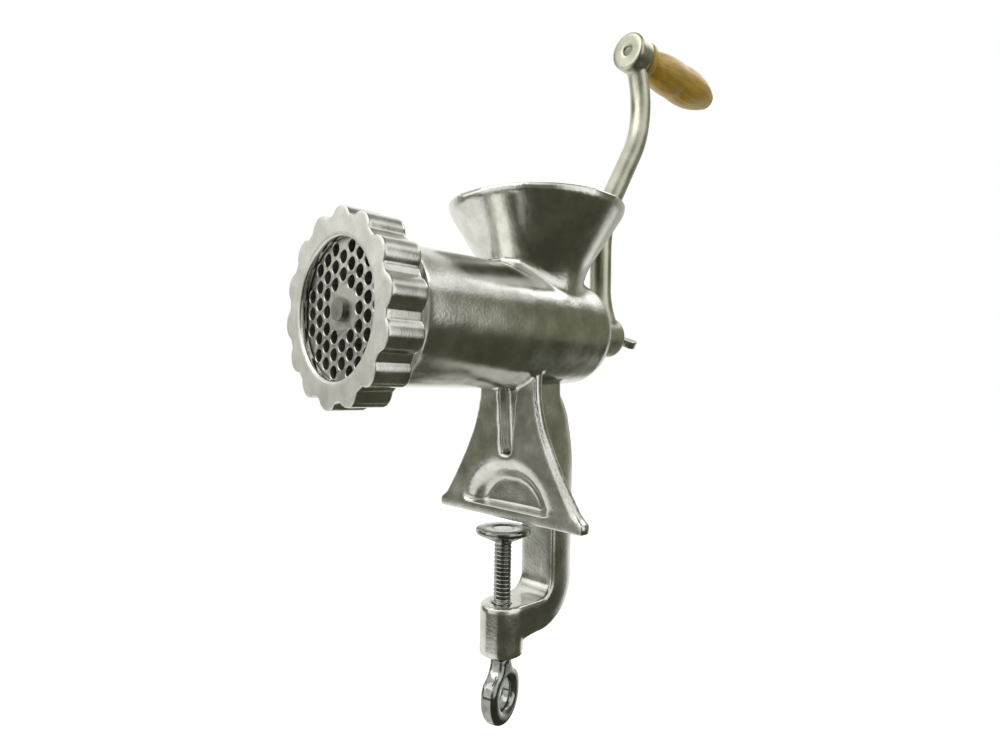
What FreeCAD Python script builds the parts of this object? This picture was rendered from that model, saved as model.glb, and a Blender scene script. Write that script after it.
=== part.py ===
import FreeCAD
import Part
import Sketcher
import math
import os
import re

from FreeCAD import Placement, Rotation, Vector

# A hand crank meat grinder. The barrel lies along Y with its mouth towards -Y, the crank is at +Y and
# Z points up. The origin is on the table top, under the stand, on the axis of the clamp screw.

# Driving sizes in millimetres, angles in degrees and counts.
SIZES = {
    # clearances
    "running_gap": 0.05,        # around a shaft that turns in a hole
    "fit_gap": 0.02,            # around a piece that is fixed in a hole
    "face_gap": 0.1,            # between flat faces that turn or part
    "flight_gap": 0.4,          # between the worm's flight and the barrel
    # barrel
    "axis_height": 96.0,        # table top to the barrel's axis
    "plate_reach": 93.0,        # clamp axis to the plate's front face
    "barrel_radius": 31.0,
    "nose_setback": 1.0,        # plate's front face to the end of the nose
    "nose_wall": 3.4,
    "nose_length": 13.5,
    "nose_blend": 6.0,          # slope from the nose down to the barrel
    "taper_start": -12.0,       # where the barrel starts to narrow
    "barrel_rear": 49.0,        # where the barrel turns into its domed end
    "rear_radius": 27.5,
    "dome_length": 12.0,
    "dome_turn": 56.0,
    "bearing_radius": 14.0,
    "bearing_length": 4.0,
    "end_wall": 20.0,           # bore's end to the bearing's rear face
    "bore_radius": 27.0,        # at the front; the bore narrows to the rear as the barrel does
    "bore_rear_radius": 23.5,
    "knife_room": 9.0,          # wide bore behind the plate
    # hopper
    "hopper_centre": 20.0,      # clamp axis to the hopper's axis
    "hopper_height": 64.0,      # barrel's axis to the rim
    "rim_radius": 46.0,
    "rim_roll": 5.5,            # height of the rim's rounded edge
    "rim_roll_turn": 35.0,
    "funnel_inset": 1.4,        # rim's edge to the top of the funnel
    "neck_radius": 24.0,
    "neck_straight": 12.0,      # barrel's axis to the start of the flare
    "neck_flare": 20.0,         # height of the flare
    "flare_spread": 4.0,
    "flare_turn": 26.0,
    "hopper_wall": 3.2,
    "saddle_blend": 5.0,        # rounding between hopper and barrel
    # stand
    "neck_half_width": 19.8,
    "waist_height": 64.0,
    "waist_half_width": 20.2,
    "flare_height": 40.0,       # where the legs become straight
    "flare_half_width": 27.0,
    "leg_bow": 10.0,            # turn of the leg's edge from the foot to the flare
    "leg_turn": 21.5,
    "foot_half_width": 48.5,
    "foot_thickness": 5.0,
    "foot_margin": 2.0,         # foot's rim around the legs
    "foot_round": 4.0,          # rounding of the foot's corners
    "stand_front_top": 1.0,
    "stand_front_foot": 0.0,
    "stand_web": 4.5,           # thickness of the stand's face
    "stand_rear": 12.0,
    "backing_inset": 9.0,       # face's edge in to the block behind the arch
    "arch_half_width": 27.5,
    "arch_height": 25.0,
    "arch_turn": 82.0,
    "niche_back_wall": 5.0,
    "niche_round": 5.0,
    "groove_top_half": 7.5,
    "groove_foot_half": 3.0,
    "groove_foot_height": 32.0,
    "groove_depth": 6.0,
    # column and clamp arm
    "column_half_width": 11.5,
    "column_top_rear": 29.5,
    "column_waist_height": 22.0,
    "column_rear": 48.5,
    "throat_depth": 24.5,       # clamp axis to the arm's inner face
    "inner_bend": 8.0,          # rounding inside the arm's bend
    "outer_bend": 27.0,
    "column_round": 9.5,
    "clamp_boss_radius": 11.0,
    "clamp_boss_top": 41.5,     # table top down to the boss
    "clamp_boss_length": 25.5,
    "arm_foot_height": 5.5,     # boss's lower face up to the arm's underside
    "boss_round": 1.5,
    # ring nut
    "ring_depth": 17.0,
    "ring_lip": 4.0,
    "ring_opening_radius": 28.7,
    "ring_opening_bevel": 1.0,
    "ring_wall": 3.2,
    "lobe_count": 14,
    "lobe_radius": 7.2,
    "lobe_height": 3.4,         # lobe's tip above the ring's wall
    "ring_rest_turn": 6.0,      # how far a lobe has stopped past the top
    # plate
    "plate_radius": 31.0,
    "plate_thickness": 7.0,
    "plate_gap": 0.1,           # around the plate in the nose
    "hole_radius": 2.75,
    "hole_pitch": 7.2,
    "hole_field": 26.5,         # circle that the holes' centres stay in
    "hub_field": 10.0,          # circle that the holes' centres stay out of
    "key_pin_radius": 1.5,
    "key_pin_length": 6.0,
    "key_pin_rise": 1.2,        # pin above the wall of the bore
    "key_slot_gap": 0.2,
    # worm, stud and knife
    "shaft_radius": 7.5,
    "bush_wall": 2.5,
    "thrust_thickness": 2.0,
    "thrust_radius": 14.0,
    "core_front_radius": 10.0,
    "core_rear_radius": 13.0,
    "flight_pitch": 30.0,
    "flight_root": 6.0,
    "flight_tip": 3.5,
    "flight_sink": 1.0,         # flight's root below the core's surface
    "seat_square": 10.0,        # square shank in the crank's hub
    "seat_recess": 0.5,         # hub's rear face to the end of the shank
    "stud_radius": 5.0,
    "stud_length": 18.0,        # stud inside the worm
    "stud_square": 9.4,
    "stud_proud": 2.4,          # stud in front of the plate
    "knife_thickness": 7.0,
    "knife_hub_radius": 9.5,
    "knife_radius": 27.5,
    "blade_root": 11.0,
    "blade_tip": 7.0,
    "blade_count": 4,
    # crank
    "crank_radius": 177.5,
    "hub_clearance": 1.0,       # bearing's rear face to the hub
    "hub_radius": 11.7,
    "hub_length": 20.0,
    "hub_round": 2.0,
    "arm_radius": 6.2,
    "arm_root_radius": 9.6,     # arm's flared root in the hub
    "arm_root_height": 9.0,
    "arm_flare": 20.0,          # height of the flare
    "arm_flare_turn": 20.0,
    "lower_bend_radius": 60.0,
    "lower_bend": 32.0,
    "arm_slant": 38.0,
    "upper_bend_radius": 60.0,
    "upper_bend": 31.0,         # lean of the arm where it meets the boss
    "knob_radius": 11.3,
    "knob_length": 14.0,
    "rivet_recess": 1.2,
    "rivet_recess_radius": 3.0,
    # grip
    "spindle_radius": 3.2,
    "rivet_radius": 2.5,
    "grip_washer_radius": 7.5,
    "grip_washer_thickness": 1.0,
    "grip_length": 81.0,
    "grip_radius": 11.8,
    "grip_flange_radius": 10.8,
    "grip_flange": 4.0,
    "grip_neck_radius": 8.0,
    "grip_neck": 4.0,
    "grip_swell": 40.0,         # boss end to the thickest place
    "grip_swell_turn": 22.0,
    "grip_end_radius": 6.2,
    "grip_end_turn": 31.0,
    "grip_end_recess": 5.0,
    "spindle_head": 2.5,
    "spindle_head_radius": 4.3,
    "recess_gap": 0.4,
    # thumb screw
    "thumb_stem_radius": 3.5,
    "thumb_stem": 12.0,
    "thumb_washer_radius": 9.0,
    "thumb_washer_thickness": 1.5,
    "thumb_collar_radius": 6.5,
    "thumb_collar": 4.0,
    "wing_thickness": 4.5,
    "wing_half_width": 13.0,
    "wing_radius": 6.5,
    "wing_reach": 11.0,         # collar to the wing's widest place
    "wing_turn": 120.0,
    "wing_dip_turn": 30.0,
    "wing_lean": 25.0,
    # clamp screw and pad
    "screw_radius": 4.8,
    "screw_spigot": 3.0,
    "screw_root_radius": 2.9,   # screw's end inside the eye's shoulder
    "pad_drop": 4.5,            # table top down to the pad
    "pad_radius": 13.8,
    "pad_rim": 2.6,
    "pad_cone": 3.4,
    "pad_hub_radius": 7.0,
    "rivet_head_radius": 5.0,
    "rivet_head": 1.6,
    "rivet_sink": 0.3,          # rivet's head below the pad's face
    "rivet_shank": 1.4,
    "rivet_depth": 8.0,
    "eye_gap": 2.5,             # boss down to the eye's shoulder
    "eye_neck_half": 5.2,
    "eye_neck": 15.0,           # height of the eye's shoulders
    "eye_straight": 3.0,
    "eye_hole_straight": 2.0,
    "eye_half_width": 14.0,
    "eye_band": 7.6,
    "eye_thickness": 8.6,
    "eye_round": 2.9,
    "eye_turn": 17.0,
}

# How far an edge may lie from the place that it is picked by, and how long it is at least.
NEAR = 1.0

doc = FreeCAD.newDocument("meat_grinder")
dim = doc.addObject("Spreadsheet::Sheet", "dim")
for row, (alias, size) in enumerate(SIZES.items(), start=1):
    dim.set(f"A{row}", alias)
    dim.set(f"B{row}", str(size))
    dim.setAlias(f"B{row}", alias)
doc.recompute()

# Places that several pieces share, as formulas of the driving sizes.
NOSE_END = "(nose_setback - plate_reach)"
NOSE_RADIUS = "(plate_radius + plate_gap + nose_wall)"
NOSE_REAR = f"({NOSE_END} + nose_length)"
PLATE_REAR = "(plate_thickness - plate_reach)"
KNIFE_FRONT = f"({PLATE_REAR} + face_gap)"
WORM_FRONT = f"({KNIFE_FRONT} + knife_thickness)"
KNIFE_BORE_END = f"({PLATE_REAR} + knife_room)"
BEARING_REAR = "(barrel_rear + dome_length + bearing_length)"
BORE_END = f"({BEARING_REAR} - end_wall)"
WORM_REAR = f"({BORE_END} - thrust_thickness - face_gap)"
HUB_FRONT = f"({BEARING_REAR} + hub_clearance)"
HUB_REAR = f"({HUB_FRONT} + hub_length)"
HUB_MIDDLE = f"({HUB_FRONT} + hub_length / 2)"
SEAT_START = f"({HUB_FRONT} - hub_clearance / 2)"
SEAT_END = f"({HUB_REAR} - seat_recess)"
LIP_FACE = "(-plate_reach - face_gap)"
RING_BORE = f"({NOSE_RADIUS} + running_gap)"
RING_WALL = f"({RING_BORE} + ring_wall)"
BUSH_RADIUS = "(shaft_radius + running_gap + bush_wall)"
GRIP_HEIGHT = "(axis_height + crank_radius)"
LOWER_BEND_SWAY = "(lower_bend_radius * (1 - cos(lower_bend)))"
LOWER_BEND_RISE = "(lower_bend_radius * sin(lower_bend))"
UPPER_BEND_SWAY = "(upper_bend_radius * (cos(upper_bend) - cos(lower_bend)))"
UPPER_BEND_RISE = "(upper_bend_radius * (sin(upper_bend) + sin(lower_bend)))"
ARM_SWAY = f"({LOWER_BEND_SWAY} + arm_slant * sin(lower_bend) + {UPPER_BEND_SWAY})"
ARM_STRAIGHT = f"(crank_radius - {LOWER_BEND_RISE} - arm_slant * cos(lower_bend) - {UPPER_BEND_RISE})"
KNOB_MIDDLE = f"({HUB_MIDDLE} + {ARM_SWAY})"
KNOB_FRONT = f"({KNOB_MIDDLE} - knob_length / 2)"
KNOB_REAR = f"({KNOB_MIDDLE} + knob_length / 2)"
GRIP_FRONT = f"({KNOB_REAR} + grip_washer_thickness + face_gap)"
CLAMP_BOSS_FOOT = "(-clamp_boss_top - clamp_boss_length)"
ARM_FOOT = f"({CLAMP_BOSS_FOOT} + arm_foot_height)"
PAD_FOOT = "(-pad_drop - pad_rim - pad_cone)"
PAD_FLOOR = "(-pad_drop - rivet_sink - rivet_head - face_gap)"
EYE_TOP = f"({CLAMP_BOSS_FOOT} - eye_gap)"
EYE_FOOT = f"({EYE_TOP} - eye_neck - eye_straight - eye_half_width)"
THUMB_SEAT = f"({HUB_REAR} + thumb_washer_thickness + 2 * face_gap)"
RECESS_FLOOR = "(grip_length - grip_end_recess)"
KEY_PIN_CENTRE = "(plate_radius + plate_gap + key_pin_radius - key_pin_rise)"


def cells(formula):
    # The names of sizes become references to the sheet's cells.
    return re.sub(r"[a-z]\w*", lambda word: f"dim.{word[0]}" if word[0] in SIZES else word[0], str(formula))


def number(formula):
    found = dim.evalExpression(cells(formula))
    return float(getattr(found, "Value", found))


def bind(item, **formulas):
    # Ties properties to the sheet. A double underscore stands for the dot in a name such as Placement.Base.
    for name, formula in formulas.items():
        item.setExpression(name.replace("__", "."), cells(formula))


def new_body(name, x="0", y="0", z="0"):
    body = doc.addObject("PartDesign::Body", name)
    body.Label = name
    bind(body, Placement__Base__x=x, Placement__Base__y=y, Placement__Base__z=z)
    return body


def turn_body(body, axis, angle):
    body.Placement = Placement(body.Placement.Base, Rotation(axis, number(angle)))
    bind(body, Placement__Rotation__Angle=angle)


def new_sketch(body, plane, x="0", y="0", z="0"):
    # A sketch on one of the body's own planes, shifted along the sketch's axes and its normal.
    sketch = body.newObject("Sketcher::SketchObject", f"{body.Name}_sketch")
    support = [item for item in body.Origin.OriginFeatures if item.Role == plane][0]
    sketch.AttachmentSupport = (support, [""])
    sketch.MapMode = "FlatFace"
    bind(sketch, AttachmentOffset__Base__x=x, AttachmentOffset__Base__y=y, AttachmentOffset__Base__z=z)
    return sketch


def pin_point(sketch, piece, end, x, y):
    for kind, formula in (("DistanceX", x), ("DistanceY", y)):
        place = sketch.addConstraint(Sketcher.Constraint(kind, -1, 1, piece, end, number(formula)))
        bind(sketch, **{f"Constraints[{place}]": formula})


def set_radius(sketch, piece, formula):
    place = sketch.addConstraint(Sketcher.Constraint("Radius", piece, number(formula)))
    bind(sketch, **{f"Constraints[{place}]": formula})


def draw(sketch, points, closed=True):
    # Lines and arcs through (x, y) or (x, y, turn). A turn makes the stretch that arrives at its point an arc
    # through that angle, to the left when it is positive.
    starts = points if closed else points[:-1]
    targets = points[1:] + points[:1] if closed else points[1:]
    previous = None
    first = None
    for (x0, y0, *_), (x1, y1, *turn) in zip(starts, targets):
        start = Vector(number(x0), number(y0))
        target = Vector(number(x1), number(y1))
        if turn:
            angle = math.radians(number(turn[0]))
            chord = target - start
            radius = chord.Length / 2 / math.sin(abs(angle) / 2)
            side = Vector(-chord.y, chord.x).normalize() * math.copysign(radius * math.cos(angle / 2), angle)
            centre = (start + target) / 2 + side
            ends = (start, target) if angle > 0 else (target, start)
            spans = [math.atan2(end.y - centre.y, end.x - centre.x) for end in ends]
            circle = Part.Circle(centre, Vector(0, 0, 1), radius)
            piece = sketch.addGeometry(Part.ArcOfCircle(circle, *spans))
            across, up = f"(({x1}) - ({x0}))", f"(({y1}) - ({y0}))"
            set_radius(sketch, piece, f"sqrt({across}^2 + {up}^2) / 2 / sin(abs({turn[0]}) / 2)")
            head, tail = (1, 2) if angle > 0 else (2, 1)
        else:
            piece = sketch.addGeometry(Part.LineSegment(start, target))
            head, tail = 1, 2
        pin_point(sketch, piece, head, x0, y0)
        if previous is None:
            first = (piece, head)
        else:
            sketch.addConstraint(Sketcher.Constraint("Coincident", *previous, piece, head))
        previous = (piece, tail)
    if closed:
        sketch.addConstraint(Sketcher.Constraint("Coincident", *previous, *first))
    else:
        pin_point(sketch, *previous, x1, y1)


def draw_circle(sketch, x, y, radius):
    circle = Part.Circle(Vector(number(x), number(y)), Vector(0, 0, 1), number(radius))
    piece = sketch.addGeometry(circle)
    pin_point(sketch, piece, 3, x, y)
    set_radius(sketch, piece, radius)


def box_points(x0, x1, y0, y1):
    return [(x0, y0), (x1, y0), (x1, y1), (x0, y1)]


def mirrored(points):
    # A closed outline from its right half, which runs from the foot of the middle line to its head.
    foot = points[0] + points[1][2:]
    left = [(f"-({x})", y, *turn) for (x, y, *_), (_, _, *turn) in zip(points[-2:0:-1], points[:1:-1])]
    return [foot] + points[1:] + left


def revolve(body, points, axis="H_Axis", plane="YZ_Plane", kind="Revolution", **shift):
    # An outline turned round the sketch's horizontal or vertical axis.
    sketch = new_sketch(body, plane, **shift)
    draw(sketch, points)
    turned = body.newObject(f"PartDesign::{kind}", f"{body.Name}_{kind}")
    turned.Profile = sketch
    turned.ReferenceAxis = (sketch, [axis])
    turned.Angle = 360
    return turned


def turned_body(name, points, axis="H_Axis", y="0", z="axis_height"):
    body = new_body(name, y=y, z=z)
    revolve(body, points, axis)
    return body


def extrude(body, sketch, length, kind="Pad", reverse=False):
    # A pad along the sketch's normal, or a pocket against it, or either the other way round.
    made = body.newObject(f"PartDesign::{kind}", f"{body.Name}_{kind}")
    made.Profile = sketch
    made.Reversed = reverse
    bind(made, Length=length)
    return made


def repeat_round(body, feature, sketch, count):
    # Copies of a feature, spaced evenly round the sketch's origin.
    pattern = body.newObject("PartDesign::PolarPattern", f"{body.Name}_pattern")
    pattern.Originals = [feature]
    pattern.Axis = (sketch, ["N_Axis"])
    pattern.Angle = 360
    bind(pattern, Occurrences=count)
    body.Tip = pattern
    return pattern


def round_edges(body, base, radius, chosen):
    # Rounds the edges of a body's last feature that chosen() picks.
    doc.recompute()
    names = [f"Edge{place}" for place, edge in enumerate(base.Shape.Edges, start=1) if chosen(edge)]
    rounded = body.newObject("PartDesign::Fillet", f"{body.Name}_fillet")
    rounded.Base = (base, names)
    bind(rounded, Radius=radius)
    return rounded


def joined(name, pieces):
    fuse = doc.addObject("Part::MultiFuse", name)
    fuse.Shapes = pieces
    return fuse


def cut_away(name, base, tool):
    cut = doc.addObject("Part::Cut", name)
    cut.Base = base
    cut.Tool = tool
    return cut


def middle(edge):
    return edge.valueAt((edge.FirstParameter + edge.LastParameter) / 2)


# Casting: barrel, hopper, stand, column and clamp arm in one piece


def barrel_form():
    return turned_body("barrel_form", [
        (NOSE_END, "0"),
        (BEARING_REAR, "0"),
        (BEARING_REAR, "bearing_radius"),
        ("barrel_rear + dome_length", "bearing_radius"),
        ("barrel_rear", "rear_radius", "dome_turn"),
        ("taper_start", "barrel_radius"),
        (f"{NOSE_REAR} + nose_blend", "barrel_radius"),
        (NOSE_REAR, NOSE_RADIUS),
        (NOSE_END, NOSE_RADIUS),
    ])


def barrel_bore():
    return turned_body("barrel_bore", [
        (f"{NOSE_END} - nose_length", "0"),
        (f"{BEARING_REAR} + bearing_length", "0"),
        (f"{BEARING_REAR} + bearing_length", f"{BUSH_RADIUS} + fit_gap"),
        (BORE_END, f"{BUSH_RADIUS} + fit_gap"),
        (BORE_END, "bore_rear_radius"),
        (KNIFE_BORE_END, "bore_radius"),
        (KNIFE_BORE_END, "plate_radius + plate_gap"),
        (f"{NOSE_END} - nose_length", "plate_radius + plate_gap"),
    ])


def hopper_form():
    return turned_body("hopper_form", [
        ("0", "0"),
        ("neck_radius", "0"),
        ("neck_radius", "neck_straight"),
        ("neck_radius + flare_spread", "neck_straight + neck_flare", "-flare_turn"),
        ("rim_radius - funnel_inset", "hopper_height - rim_roll"),
        ("rim_radius", "hopper_height", "rim_roll_turn"),
        ("0", "hopper_height"),
    ], "V_Axis", y="hopper_centre")


def hopper_hollow():
    over_rim = "hopper_height + rim_roll"
    return turned_body("hopper_hollow", [
        ("0", "0"),
        ("neck_radius - hopper_wall", "0"),
        ("neck_radius - hopper_wall", "neck_straight"),
        ("neck_radius + flare_spread - hopper_wall", "neck_straight + neck_flare", "-flare_turn"),
        ("rim_radius - hopper_wall", "hopper_height"),
        ("rim_radius - hopper_wall", over_rim),
        ("0", over_rim),
    ], "V_Axis", y="hopper_centre")


def leg_outline(inset, top):
    # Right half of the stand's outline, drawn in from its edge by the inset.
    return [
        ("0", "0"),
        (f"foot_half_width - {inset}", "0"),
        (f"foot_half_width - {inset}", "foot_thickness"),
        (f"flare_half_width - {inset}", "flare_height", "-leg_bow"),
        (f"waist_half_width - {inset}", "waist_height", "-leg_turn"),
        (f"neck_half_width - {inset}", top),
        ("0", top),
    ]


def stand_form():
    # A thin face with the arch and the groove, and a block behind it that closes both.
    body = new_body("stand_form")
    top = "(axis_height - rear_radius / 2)"
    past = "(stand_rear - stand_front_foot)"
    web_rear = "(stand_front_top + stand_web)"
    face = new_sketch(body, "XZ_Plane", z=f"-{web_rear}")
    draw(face, mirrored(leg_outline("0", top)))
    extrude(body, face, f"{web_rear} - stand_front_foot")
    backing = new_sketch(body, "XZ_Plane", z="-stand_rear")
    draw(backing, mirrored(leg_outline("backing_inset", top)))
    extrude(body, backing, "stand_rear - stand_front_top")
    slope = new_sketch(body, "YZ_Plane", z="-2 * foot_half_width")
    draw(slope, [
        ("stand_front_foot", "0"),
        ("stand_front_top", top),
        ("stand_front_top", f"{top} + foot_thickness"),
        ("stand_front_foot - foot_margin", f"{top} + foot_thickness"),
        ("stand_front_foot - foot_margin", "0"),
    ])
    extrude(body, slope, "4 * foot_half_width", "Pocket", True)
    groove = new_sketch(body, "XZ_Plane", z="-stand_front_top - groove_depth")
    draw(groove, mirrored([
        ("0", "groove_foot_height"),
        ("groove_foot_half", "groove_foot_height"),
        ("groove_top_half", top),
        ("0", top),
    ]))
    extrude(body, groove, past, "Pocket", True)
    arch = new_sketch(body, "XZ_Plane", z="niche_back_wall - stand_rear")
    draw(arch, mirrored([
        ("0", "foot_thickness"),
        ("arch_half_width", "foot_thickness"),
        ("0", "arch_height", "arch_turn"),
    ]))
    niche = extrude(body, arch, past, "Pocket", True)
    niche_floor = number("stand_rear - niche_back_wall")
    wide = number("arch_half_width") + NEAR
    high = number("arch_height") + NEAR

    def is_arch_edge(edge):
        box = edge.BoundBox
        inside = -wide < box.XMin and box.XMax < wide and 0 < box.ZMin and box.ZMax < high
        return inside and box.YMax < niche_floor - NEAR and box.ZLength > NEAR
    round_edges(body, niche, "niche_round", is_arch_edge)
    foot = new_sketch(body, "XY_Plane")
    reach = "(foot_half_width + foot_margin)"
    front = "(stand_front_foot - foot_margin)"
    rear = f"({web_rear} + foot_margin)"
    draw(foot, mirrored([
        ("0", front),
        (f"{reach} - foot_round", front),
        (reach, f"{front} + foot_round", "90"),
        (reach, f"{rear} - foot_round"),
        (f"{reach} - foot_round", rear, "90"),
        ("0", rear),
    ]))
    extrude(body, foot, "foot_thickness")
    return body


def column_form():
    body = new_body("column_form")
    front = "stand_rear - niche_back_wall"
    top = "axis_height - rear_radius / 2"
    root = "axis_height - rear_radius"
    side = new_sketch(body, "YZ_Plane", z="-column_half_width")
    draw(side, [
        (front, top),
        (front, "0"),
        ("throat_depth", "0"),
        ("throat_depth", "inner_bend - clamp_boss_top"),
        ("throat_depth - inner_bend", "-clamp_boss_top", "-90"),
        ("0", "-clamp_boss_top"),
        ("0", ARM_FOOT),
        ("column_rear - outer_bend", ARM_FOOT),
        ("column_rear", f"{ARM_FOOT} + outer_bend", "90"),
        ("column_rear", "column_waist_height"),
        ("column_top_rear", root, f"2 * atan((column_rear - column_top_rear) / ({root} - column_waist_height))"),
        ("column_top_rear", top),
    ])
    pad = extrude(body, side, "2 * column_half_width")
    inner_face = number("throat_depth") + NEAR
    under_barrel = number(root)
    underside = number(ARM_FOOT) + NEAR

    def is_outer_edge(edge):
        centre = middle(edge)
        behind = inner_face < centre.y and centre.z < under_barrel
        return edge.BoundBox.XLength < NEAR and (behind or centre.z < underside)
    round_edges(body, pad, "column_round", is_outer_edge)
    return body


def clamp_boss_form():
    return turned_body("clamp_boss_form", [
        ("0", CLAMP_BOSS_FOOT),
        ("clamp_boss_radius - boss_round", CLAMP_BOSS_FOOT),
        ("clamp_boss_radius", f"{CLAMP_BOSS_FOOT} + boss_round", "90"),
        ("clamp_boss_radius", "-clamp_boss_top - boss_round"),
        ("clamp_boss_radius - boss_round", "-clamp_boss_top", "90"),
        ("0", "-clamp_boss_top"),
    ], "V_Axis", z="0")


def screw_hole():
    return turned_body("screw_hole", box_points(
        "0", "screw_radius + running_gap", f"{CLAMP_BOSS_FOOT} - boss_round", "boss_round - clamp_boss_top"),
        "V_Axis", z="0")


def key_pin_hole():
    return turned_body("key_pin_hole", box_points(
        f"{NOSE_END} - key_pin_length", f"{NOSE_END} + key_pin_length", "0", "key_pin_radius + fit_gap"),
        z=f"axis_height - {KEY_PIN_CENTRE}")


def make_casting():
    tube = joined("barrel_and_hopper", [barrel_form(), hopper_form()])
    doc.recompute()
    saddle = doc.addObject("Part::Fillet", "saddle")
    saddle.Base = tube
    neck_top = number("axis_height + neck_straight + neck_flare")
    blend = number("saddle_blend")
    saddle.Edges = [
        (place, blend, blend)
        for place, edge in enumerate(tube.Shape.Edges, start=1)
        if edge.BoundBox.ZMin > number("axis_height") and edge.BoundBox.ZMax < neck_top
        and min(edge.BoundBox.XLength, edge.BoundBox.ZLength) > NEAR
    ]
    solid = joined("solid_casting", [saddle, stand_form(), column_form(), clamp_boss_form()])
    hollows = joined("casting_hollows", [barrel_bore(), hopper_hollow(), screw_hole(), key_pin_hole()])
    return cut_away("body_casting", solid, hollows)


# Pieces fixed in the casting


def make_rear_bush():
    return turned_body("rear_bush", box_points(
        BORE_END, BEARING_REAR, "shaft_radius + running_gap", BUSH_RADIUS))


def make_thrust_washer():
    return turned_body("thrust_washer", box_points(
        f"{BORE_END} - thrust_thickness", BORE_END, "shaft_radius + running_gap", "thrust_radius"))


def make_plate_key_pin():
    return turned_body("plate_key_pin", box_points(
        NOSE_END, f"{NOSE_END} + key_pin_length", "0", "key_pin_radius"), z=f"axis_height - {KEY_PIN_CENTRE}")


# Worm, stud and knife


def make_feed_screw():
    body = new_body("feed_screw", z="axis_height")
    revolve(body, [
        (f"{WORM_FRONT} + stud_length", "0"),
        (SEAT_START, "0"),
        (SEAT_START, "shaft_radius"),
        (WORM_REAR, "shaft_radius"),
        (WORM_REAR, "core_rear_radius"),
        (WORM_FRONT, "core_front_radius"),
        (WORM_FRONT, "stud_radius + fit_gap"),
        (f"{WORM_FRONT} + stud_length", "stud_radius + fit_gap"),
    ])
    seat = new_sketch(body, "XZ_Plane", z=f"-({SEAT_START})")
    draw(seat, box_points("-seat_square / 2", "seat_square / 2", "-seat_square / 2", "seat_square / 2"))
    extrude(body, seat, f"{SEAT_END} - {SEAT_START}", reverse=True)
    revolve(body, box_points(f"{SEAT_END} - thumb_stem - seat_square / 2", f"{SEAT_END} + seat_square", "0",
                             "thumb_stem_radius + running_gap"), kind="Groove")
    flight = new_sketch(body, "YZ_Plane", x=f"{WORM_FRONT} + flight_root / 2")
    draw(flight, [
        ("-flight_root / 2", "core_front_radius - flight_sink"),
        ("flight_root / 2", "core_front_radius - flight_sink"),
        ("flight_tip / 2", "bore_radius - flight_gap"),
        ("-flight_tip / 2", "bore_radius - flight_gap"),
    ])
    helix = body.newObject("PartDesign::AdditiveHelix", "feed_screw_flight")
    helix.Profile = flight
    helix.ReferenceAxis = (flight, ["H_Axis"])
    helix.Mode = "pitch-height-angle"
    helix.LeftHanded = True
    bind(helix, Pitch="flight_pitch", Height=f"{WORM_REAR} - {WORM_FRONT} - flight_root")
    # the flight narrows with the bore
    revolve(body, [
        (f"{WORM_FRONT} - flight_root", "bore_radius - flight_gap"),
        (BORE_END, "bore_rear_radius - flight_gap"),
        (BORE_END, "bore_radius + flight_gap"),
        (f"{WORM_FRONT} - flight_root", "bore_radius + flight_gap"),
    ], kind="Groove")
    return body


def make_worm_stud():
    body = new_body("worm_stud", z="axis_height")
    revolve(body, box_points(WORM_FRONT, f"{WORM_FRONT} + stud_length", "0", "stud_radius"))
    square = new_sketch(body, "XZ_Plane", z=f"-({KNIFE_FRONT})")
    draw(square, box_points("-stud_square / 2", "stud_square / 2", "-stud_square / 2", "stud_square / 2"))
    extrude(body, square, "knife_thickness", reverse=True)
    revolve(body, box_points("-plate_reach - stud_proud", KNIFE_FRONT, "0", "stud_square / 2"))
    return body


def make_cross_knife():
    body = new_body("cross_knife", y=KNIFE_FRONT, z="axis_height")
    half = "(stud_square / 2 + fit_gap)"
    hub = new_sketch(body, "XZ_Plane")
    draw_circle(hub, "0", "0", "knife_hub_radius")
    draw(hub, box_points(f"-{half}", half, f"-{half}", half))
    extrude(body, hub, "knife_thickness", reverse=True)
    blade = new_sketch(body, "XZ_Plane")
    root = "(knife_hub_radius + stud_square * sqrt(0.5)) / 2"
    draw(blade, [
        (root, "-blade_root / 2"),
        ("knife_radius", "-blade_tip / 2"),
        ("knife_radius", "blade_tip / 2"),
        (root, "blade_root / 2"),
    ])
    one = extrude(body, blade, "knife_thickness", reverse=True)
    repeat_round(body, one, blade, "blade_count")
    return body


# Plate and ring nut


def make_grinding_plate():
    body = new_body("grinding_plate", y="-plate_reach", z="axis_height")
    disc = new_sketch(body, "XZ_Plane")
    draw_circle(disc, "0", "0", "plate_radius")
    draw_circle(disc, "0", "0", "stud_square / 2 + running_gap")
    pitch = number("hole_pitch")
    reach = math.ceil(number("hole_field") / pitch) + 1
    for column in range(-reach, reach + 1):
        for place in range(-reach, reach + 1):
            across = f"{column} * hole_pitch * sqrt(0.75)"
            up = f"({place} + {column % 2} / 2) * hole_pitch"
            if number("hub_field") < math.hypot(number(across), number(up)) < number("hole_field"):
                draw_circle(disc, across, up, "hole_radius")
    extrude(body, disc, "plate_thickness", reverse=True)
    slot = new_sketch(body, "XZ_Plane")
    draw_circle(slot, "0", f"-{KEY_PIN_CENTRE}", "key_pin_radius + key_slot_gap")
    extrude(body, slot, "plate_thickness", "Pocket")
    return body


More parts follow.
